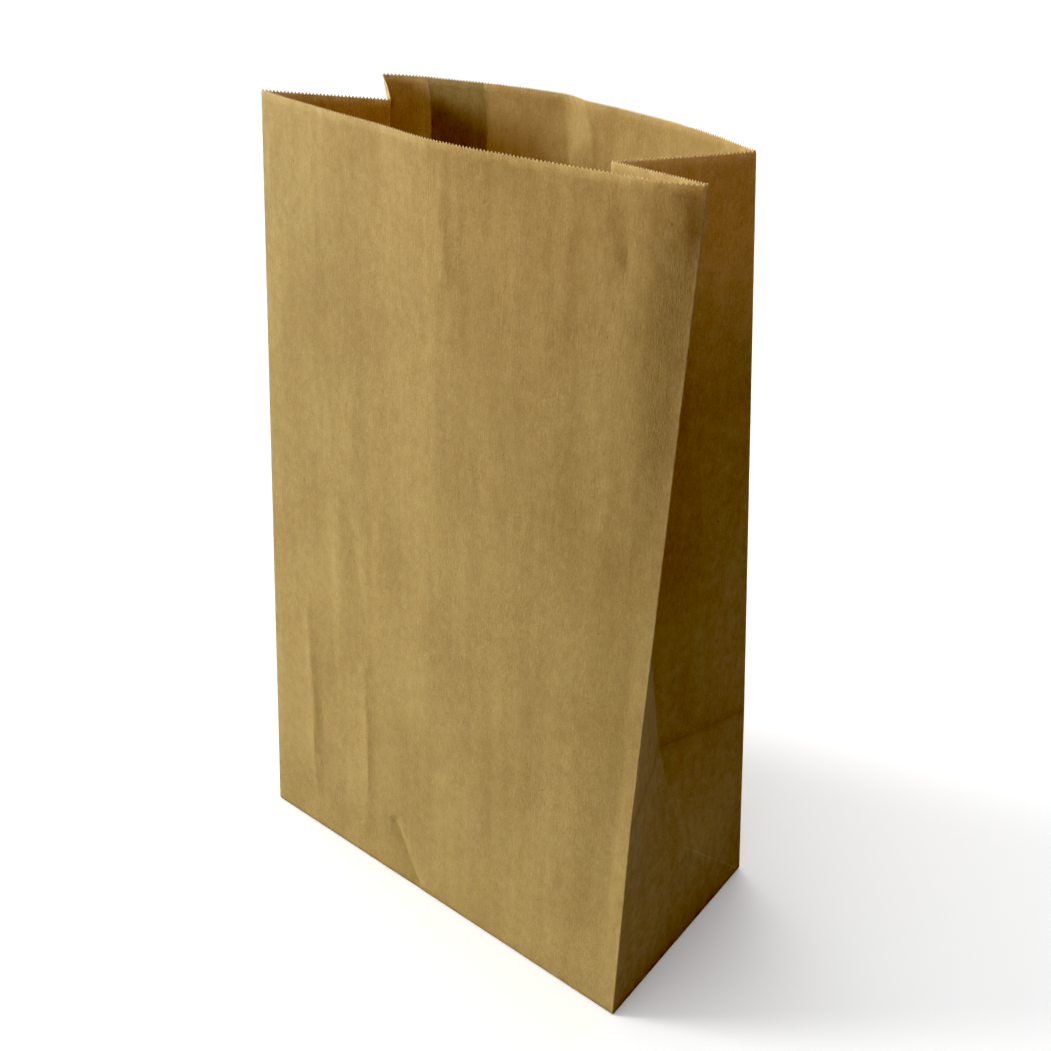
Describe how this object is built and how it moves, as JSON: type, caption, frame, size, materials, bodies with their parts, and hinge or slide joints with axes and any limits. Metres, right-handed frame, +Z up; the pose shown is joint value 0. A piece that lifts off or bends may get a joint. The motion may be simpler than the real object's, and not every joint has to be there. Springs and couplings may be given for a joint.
{
  "type": "brown paper lunch bag",
  "caption": "Plain brown kraft block-bottom paper bag standing open, with folded side gussets, a lap seam and a pinked mouth.",
  "frame": {"origin": "centre of the floor's underside, on the surface the bag stands on", "axes": "+Z up along the bag's height, X along the wide front and back panels, -Y out of the front panel, +Y out of the back panel that carries the lap seam"},
  "size_m": [0.1632, 0.0843, 0.27],
  "materials": {
    "kraft_paper": "matte uncoated brown kraft paper"
  },
  "bodies": {
    "root": {"folded_paper_sheet": "kraft_paper"}
  },
  "joints": []
}
